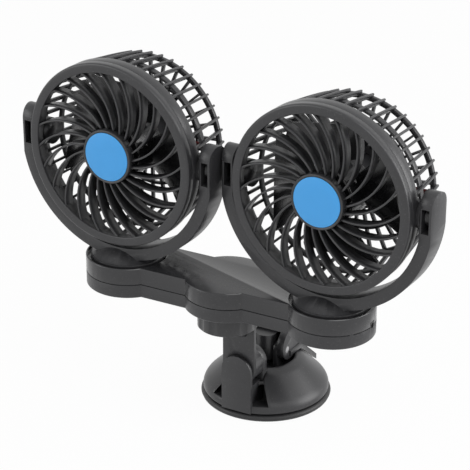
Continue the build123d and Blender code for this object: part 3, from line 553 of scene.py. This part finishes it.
blue = glossy("hub_blue", (0.07, 0.43, 0.95))
badge_crown = 0.0195
badge_round = 0.0004
badge_edge_drop = 0.0006
badge_mid_drop = 0.00005
for hand in ("left", "right"):
    disc = turned(
        [(0, badge_seat), (badge_r - badge_round / 2, badge_seat)]
        + corner((badge_r - badge_round, badge_crown - badge_edge_drop), badge_round, 0, 80)
        + [(badge_r / 2, badge_crown - badge_mid_drop), (0, badge_crown)], 96, closed=False)
    bmesh.ops.transform(disc, matrix=head_frame(hand), verts=disc.verts)
    keep(disc, hand + "_hub_disc", blue, hand + "_head", [hand + "_hub_badge"], edge=0)


# Rear cages. One black moulding each: a band, 42 curved side ribs, three rings, 30 spokes
# round an end disc, the motor's tube and two round pads whose trunnions turn in the
# yoke's ears. The motor's cap is a black cover clipped on the end disc.
band_r = 0.05325
band_in_r = 0.0518
band_back = 0.0065
band_gap = 0.0001
rib_count = 42
rib_w = 0.0013
rib_thick = 0.0024
rib_ease_share = 0.22
rib_steps = 10
rib_top = (0.0531, 0.0077)
rib_waist = (0.0509, -0.00975)
rib_end = (0.0479, -0.0272)
spoke_count = 30
spoke_w = 0.0013
rear_back = -0.0269
rear_front = -0.0245
rear_ring_r = 0.0467
rear_ring_in_r = 0.0439
mid_ring_r = 0.0494
mid_ring_in_r = 0.0478
mid_ring_back = -0.0068
mid_ring_front = -0.0032
end_disc_r = 0.0195
inner_ring_r = 0.0317
inner_ring_in_r = 0.0301
tube_r = 0.0145
tube_bore_r = 0.0125
tube_front = 0.0049
motor_front = 0.0030
motor_window_r = 0.0033
pad_r = 0.0075
pad_start = 0.0477
pad_end = 0.0554
pad_ease = 0.0006
trunnion_r = 0.0050
trunnion_end = 0.0609
trunnion_root = 0.0004
trunnion_lead = 0.0016
trunnion_dome = 0.0006
trunnion_dome_r = 0.0045
trunnion_tip = 0.0001
trunnion_tip_r = 0.0030
tilt_axis = 0.0030


def side_rib():
    """One side rib: its section at the band, carried along its arc to the rear ring."""
    cx, cz = arc_centre(rib_top, rib_waist, rib_end)
    start, end = [math.atan2(z - cz, x - cx) for x, z in (rib_top, rib_end)]
    angle = (end - start + math.pi) % (2 * math.pi) - math.pi
    out = Vector((rib_top[0] - cx, rib_top[1] - cz)).normalized()
    half, ease = rib_w / 2, rib_w * rib_ease_share
    outline = [(-half, -rib_thick), (-half, -ease), (-half + ease, 0),
               (half - ease, 0), (half, -ease), (half, -rib_thick)]
    section = [(rib_top[0] + out.x * depth, side, rib_top[1] + out.y * depth) for side, depth in outline]
    return swept(section, (cx, 0, cz), (0, 1, 0), -angle, rib_steps)


def spoke():
    """One rear spoke, a straight bar."""
    bar = bmesh.new()
    bmesh.ops.create_cube(bar, size=1.0)
    low, high = end_disc_r - spoke_w, rear_ring_in_r + spoke_w
    bmesh.ops.scale(bar, verts=bar.verts, vec=(high - low, spoke_w, rear_front - rear_back))
    bmesh.ops.translate(bar, verts=bar.verts, vec=((low + high) / 2, 0, (rear_front + rear_back) / 2))
    return bar


def squared_ring(outer, inner, back, front, steps=128, ease=0.0003):
    """A flat ring whose four edges are eased."""
    out_mid, in_mid, front_mid, back_mid = outer - ease, inner + ease, front - ease, back + ease
    return turned(
        corner((out_mid, front_mid), ease, 0, 90, 2) + corner((in_mid, front_mid), ease, 90, 180, 2)
        + corner((in_mid, back_mid), ease, 180, 270, 2) + corner((out_mid, back_mid), ease, 270, 360, 2),
        steps)


def pad(side):
    """A round pad and its trunnion on one side, along X."""
    across = Matrix.Translation((0, 0, tilt_axis)) @ Matrix.Rotation(side * math.pi / 2, 4, "Y")
    part = turned([(0, pad_start), (pad_r, pad_start)]
                  + corner((pad_r - pad_ease, pad_end - pad_ease), pad_ease, 0, 90)
                  + [(trunnion_r + trunnion_root, pad_end), (trunnion_r, pad_end + trunnion_root)]
                  + [(trunnion_r, trunnion_end - trunnion_lead)]
                  + [(trunnion_dome_r, trunnion_end - trunnion_dome)]
                  + [(trunnion_tip_r, trunnion_end - trunnion_tip), (0, trunnion_end)],
                  48, closed=False)
    bmesh.ops.transform(part, matrix=across, verts=part.verts)
    return part


def rear_cage():
    """Band, ribs, rings, spokes, end disc, motor tube and the two pads."""
    cage = squared_ring(band_r, band_in_r, band_back, guard_back - band_gap, 160)
    ring_round(cage, side_rib(), rib_count, 180 / rib_count)
    ring_round(cage, spoke(), spoke_count, 180 / spoke_count)
    add_to(cage, squared_ring(mid_ring_r, mid_ring_in_r, mid_ring_back, mid_ring_front))
    add_to(cage, squared_ring(rear_ring_r, rear_ring_in_r, rear_back, rear_front))
    add_to(cage, squared_ring(inner_ring_r, inner_ring_in_r, rear_back, rear_front))
    add_to(cage, squared_ring(end_disc_r, tube_bore_r, rear_back, rear_front, 96))
    add_to(cage, turned([(tube_bore_r, rear_back), (tube_r, rear_back), (tube_r, tube_front),
                         (motor_window_r, tube_front), (motor_window_r, motor_front),
                         (tube_bore_r, motor_front)], 96))
    for side in (-1, 1):
        add_to(cage, pad(side))
    return cage


for hand in ("left", "right"):
    cage = rear_cage()
    bmesh.ops.transform(cage, matrix=head_frame(hand), verts=cage.verts)
    keep(cage, hand + "_cage_moulding", black, hand + "_head", [hand + "_rear_cage"], edge=0)
    eased_copy(hand + "_motor_cap", hand + "_motor_cover", black, hand + "_head", 0.0004)


# Impellers. A dark hub cup on the motor's shaft with four broad twisted blades, each with
# a straight tip; moulded in a glossier black, which mirrors the guard's fins.
dark = grained("impeller_black", (0.012, 0.012, 0.013), 0.22, 2600.0, 0.00001, 0.15)
fan_hub_r = 0.0168
fan_hub_bore_r = 0.0152
fan_hub_front = 0.0110
fan_hub_back = -0.0110
fan_hub_round = 0.0012
fan_hub_wall = 0.0016
fan_tip_r = 0.0453
blade_count = 4
blade_thick = 0.0015
blade_flat_r = 0.0373
blade_root_chord = 0.0260
blade_tip_chord = 0.0560
blade_root_deg = 28.0
blade_tip_deg = 12.0
blade_camber = 0.0012
blade_weld_gap = 0.00002
rotor_rest_deg = {"left": -8.0, "right": 6.0}


def blade():
    """One blade: a flat grid bent to the twist, cut to the tip circle and given its wall."""
    sheet_shape = bmesh.new()
    bmesh.ops.create_grid(sheet_shape, x_segments=14, y_segments=22, size=0.5)
    root = (fan_hub_r + fan_hub_bore_r) / 2
    for vert in sheet_shape.verts:
        share, across = vert.co.x + 0.5, vert.co.y * 2
        radius = root + (blade_flat_r - root) * share
        half = (blade_root_chord + (blade_tip_chord - blade_root_chord) * share) / 2
        pitch = math.radians(blade_root_deg + (blade_tip_deg - blade_root_deg) * share)
        side = across * half * math.cos(pitch)
        room = math.sqrt(fan_tip_r ** 2 - radius ** 2)
        held = max(-room, min(room, side))
        height = held * math.tan(pitch) + blade_camber * (1 - across * across)
        vert.co = (radius, held, height)
    bmesh.ops.remove_doubles(sheet_shape, verts=sheet_shape.verts, dist=blade_weld_gap)
    bmesh.ops.solidify(sheet_shape, geom=sheet_shape.faces, thickness=blade_thick)
    bmesh.ops.translate(sheet_shape, verts=sheet_shape.verts, vec=(0, 0, -blade_thick / 2))
    bmesh.ops.recalc_face_normals(sheet_shape, faces=sheet_shape.faces)
    return sheet_shape


for hand in ("left", "right"):
    hub_inside = fan_hub_front - fan_hub_wall
    rotor = turned(
        [(fan_hub_bore_r, fan_hub_back), (fan_hub_r, fan_hub_back)]
        + corner((fan_hub_r - fan_hub_round, fan_hub_front - fan_hub_round), fan_hub_round, 0, 90)
        + [(0, fan_hub_front), (0, hub_inside), (fan_hub_bore_r, hub_inside)], 96, closed=False)
    ring_round(rotor, blade(), blade_count, rotor_rest_deg[hand])
    bmesh.ops.transform(rotor, matrix=head_frame(hand), verts=rotor.verts)
    keep(rotor, hand + "_impeller_moulding", dark, hand + "_rotor", [hand + "_impeller"],
         edge=0.0002, crease=40)


# Motors, pins, screws and leads. Steel cans with a white end bell in the cages' tubes,
# steel pins, springs, washers and screws, and leads in red and black insulation. These
# keep the solids' own forms and take their finishes here.
draw_share = 0.06
tarnish_scale = 90.0
tarnish_share = 0.7
streak_gloss = 0.2


def metal(name, colour, rough, grain):
    """Drawn or pressed steel with fine streaks and slight staining."""
    material = bpy.data.materials.new(name)
    look = Finish(material)
    place = look.add("TexCoord", out="Object")
    drawn = look.add("Mapping", sockets={"Vector": place, "Scale": (1.0, draw_share, 1.0)})
    streak = look.add("TexNoise", sockets={"Vector": drawn, "Scale": grain, "Detail": 4.0})
    broad = look.add("TexNoise", sockets={"Vector": place, "Scale": tarnish_scale, "Detail": 3.0})
    skin = look.add("Bump", sockets={"Height": streak, "Strength": 0.2, "Distance": 0.00002})
    stained = (*[c * tarnish_share for c in colour], 1)
    tone = look.add("Mix", {"data_type": "RGBA"}, {"Factor": broad, 6: (*colour, 1), 7: stained}, out=2)
    shader = look.add("BsdfPrincipled", sockets={
        "Base Color": tone, "Metallic": 1.0, "Roughness": rough + (streak - 0.5) * streak_gloss,
        "Normal": skin})
    look.add("OutputMaterial", sockets={"Surface": shader})
    return material


steel = metal("steel", (0.55, 0.55, 0.56), 0.32, 1200.0)
can_steel = metal("can_steel", (0.42, 0.42, 0.43), 0.4, 800.0)
red_lead = grained("red_lead", (0.10, 0.012, 0.012), 0.4, 3000.0, 0.00001)
black_lead = grained("black_lead", (0.016, 0.016, 0.016), 0.45, 3000.0, 0.00001)
bell_white = grained("bell_white", (0.62, 0.61, 0.57), 0.45, 2400.0, 0.00002)
ferrite = grained("ferrite", (0.05, 0.05, 0.052), 0.6, 1800.0, 0.00004)

finish_of_slot = {
    "body_black": black, "fan_black": dark, "rubber_black": cup_rubber, "badge_blue": blue,
    "steel": steel, "motor_steel": can_steel, "bell_white": bell_white, "splice_white": bell_white,
    "ferrite": ferrite, "lead_red": red_lead, "lead_black": black_lead,
}
for row in frame["record"]["subparts"]:
    piece = frame["nodes"][row["node"]]
    piece.data.materials.clear()
    piece.data.materials.append(finish_of_slot[row["material_slot"]])
